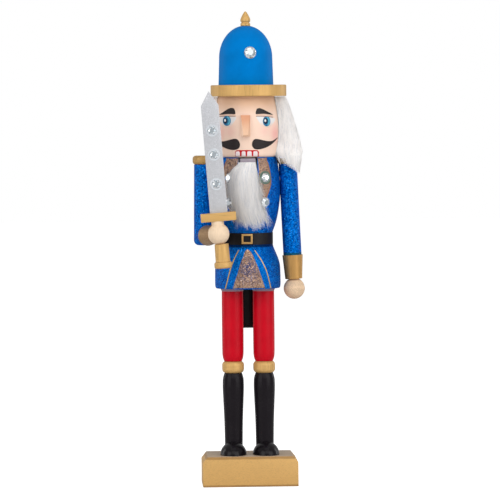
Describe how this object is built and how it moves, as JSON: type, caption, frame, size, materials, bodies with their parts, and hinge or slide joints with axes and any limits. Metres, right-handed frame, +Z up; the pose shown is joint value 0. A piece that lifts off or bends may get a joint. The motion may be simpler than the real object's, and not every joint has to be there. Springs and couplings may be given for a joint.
{
  "type": "nutcracker figure",
  "caption": "Wooden soldier nutcracker with a pinned jaw lever, a fur beard and hair, a domed hat, a sword in one hand and a flat base block.",
  "frame": {"origin": "middle of the base block's underside", "axes": "+Z up; the figure faces -Y; its left arm is on +X"},
  "size_m": [0.09, 0.0864, 0.3828],
  "materials": {
    "gold_paint": "satin",
    "black_paint": "satin",
    "red_paint": "satin",
    "blue_glitter": "satin",
    "black_leather": "satin",
    "buckle_gold": "gloss",
    "pin_steel": "satin",
    "white_fur": "matte",
    "skin_paint": "satin",
    "blue_paint": "satin",
    "rhinestone": "polished",
    "bare_wood": "matte",
    "silver_paint": "satin"
  },
  "bodies": {
    "figure": {"base": "gold_paint", "left_shoe": "black_paint", "right_shoe": "black_paint", "left_boot": "black_paint", "right_boot": "black_paint", "left_knee_band": "gold_paint", "right_knee_band": "gold_paint", "left_trouser_leg": "red_paint", "right_trouser_leg": "red_paint", "leg_dowels": "bare_wood", "coat_skirt": "blue_glitter", "waist_dowels": "bare_wood", "torso": "blue_glitter", "belt": "black_leather", "buckle": "buckle_gold", "lever_pin": "pin_steel", "neck_dowels": "bare_wood", "head": "skin_paint", "nose": "skin_paint", "hair": "white_fur", "hat_brim": "gold_paint", "hat_dome": "blue_paint", "hat_dowel": "bare_wood", "finial": "gold_paint", "hat_gem": "rhinestone", "chest_gems": "rhinestone", "sword_gems": "rhinestone", "left_epaulette": "gold_paint", "right_epaulette": "gold_paint", "left_arm": "blue_glitter", "right_upper_arm": "blue_glitter", "right_forearm": "blue_glitter", "shoulder_dowels": "bare_wood", "wrist_dowels": "bare_wood", "left_cuff": "gold_paint", "right_cuff": "gold_paint", "left_hand": "bare_wood", "right_hand": "bare_wood", "sword_blade": "silver_paint", "sword_guard": "gold_paint", "sword_grip": "gold_paint"},
    "lever": {"jaw_lever": "black_paint", "beard": "white_fur"}
  },
  "joints": [
    {"name": "jaw_hinge", "type": "hinge", "parent": "figure", "child": "lever", "pos_m": [0, 0, 0.2415], "axis": [1, 0, 0], "range_deg": [0, 28], "deforming": ["beard"]}
  ]
}
